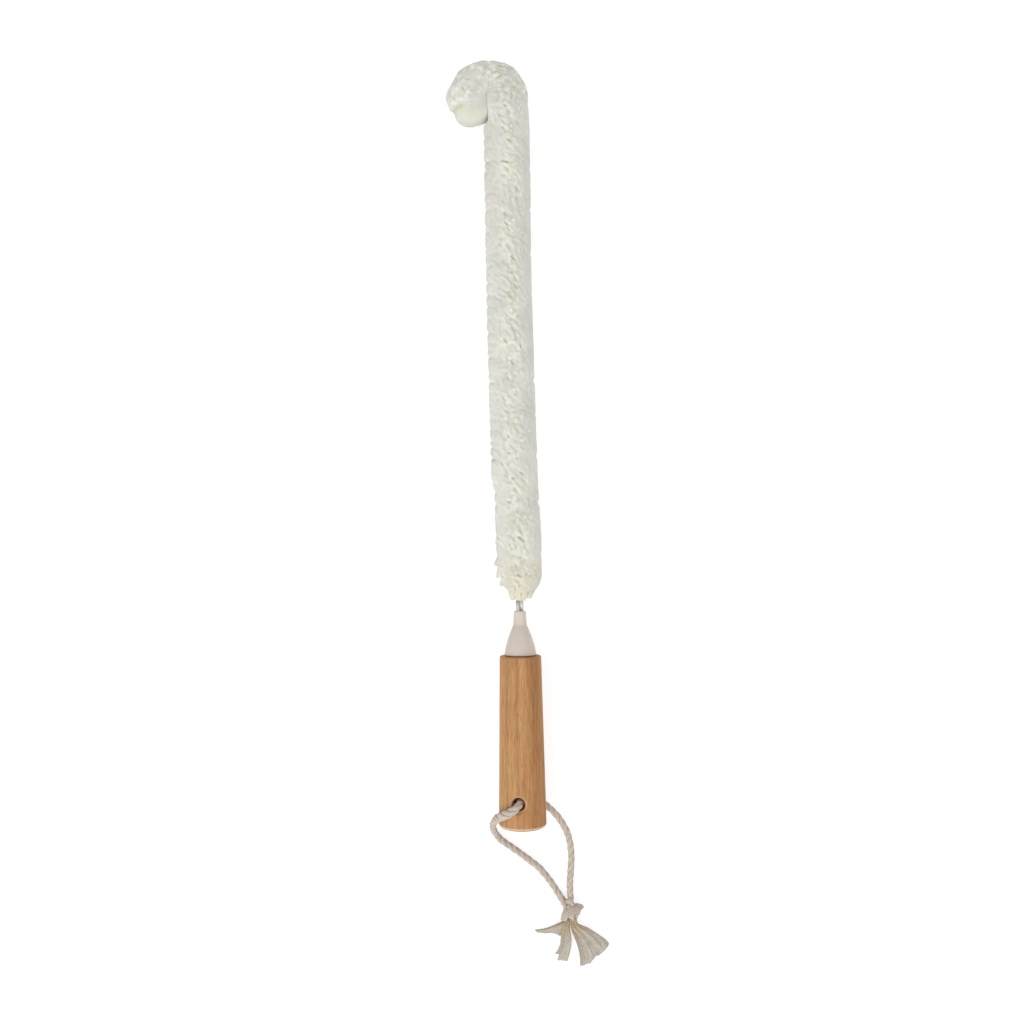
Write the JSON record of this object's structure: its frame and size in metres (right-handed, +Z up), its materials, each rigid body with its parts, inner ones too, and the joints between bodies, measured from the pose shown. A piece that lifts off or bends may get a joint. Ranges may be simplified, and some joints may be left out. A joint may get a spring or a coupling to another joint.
{
  "type": "flexible jug brush",
  "caption": "Long flexible brush for jugs and bottles, with a soft foam-strip head on a bendable wire, crooked at the tip, a turned wooden handle and a knotted hanging cord",
  "frame": {"origin": "On the surface that the brush lies on, under the middle of the brush without its cord", "axes": "+Y runs along the brush from the butt of the handle to the crook, +X is to the right of a person who looks down on it, +Z is up"},
  "size_m": [0.0882, 0.4942, 0.0317],
  "materials": {
    "bamboo": "satin",
    "ferrule_plastic": "matte",
    "steel_wire": "satin",
    "foam": "matte",
    "cotton": "matte"
  },
  "bodies": {
    "root": {"handle": "bamboo", "ferrule": "ferrule_plastic", "core_wire": "steel_wire", "foam_bristles": "foam", "hang_cord": "cotton", "cord_knot": "cotton", "cord_ends": "cotton"}
  },
  "joints": []
}
